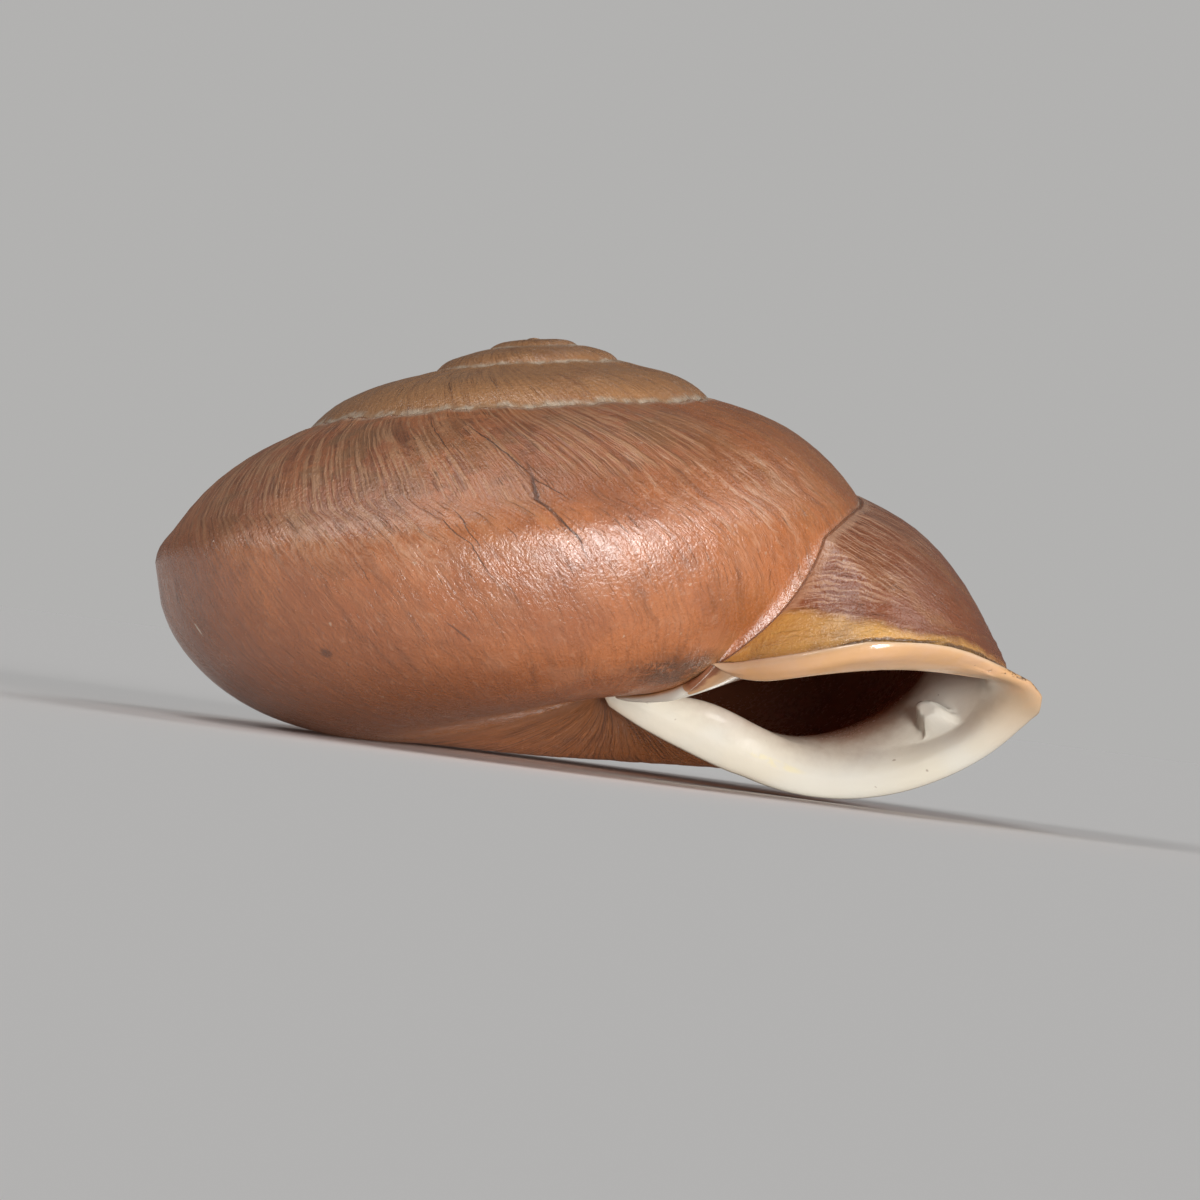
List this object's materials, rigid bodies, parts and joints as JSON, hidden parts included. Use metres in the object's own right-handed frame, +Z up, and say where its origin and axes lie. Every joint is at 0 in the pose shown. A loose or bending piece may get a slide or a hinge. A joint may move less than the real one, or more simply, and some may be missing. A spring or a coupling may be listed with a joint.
{
  "type": "land snail shell",
  "caption": "Empty right-handed land snail shell with a low domed spire, a keeled last whorl and a wide, thick-lipped mouth with a knob inside.",
  "frame": {"origin": "middle of the bounding box's bottom face, where the shell rests on its base", "axes": "+Z up, +X to the right seen from the mouth, -Y towards the mouth's front; the apex points up and a little to the left"},
  "size_m": [0.0518, 0.046, 0.0248],
  "materials": {
    "shell": "satin brown shell wall, glossy cream at the lip"
  },
  "bodies": {
    "root": {"shell": "shell"}
  },
  "joints": []
}
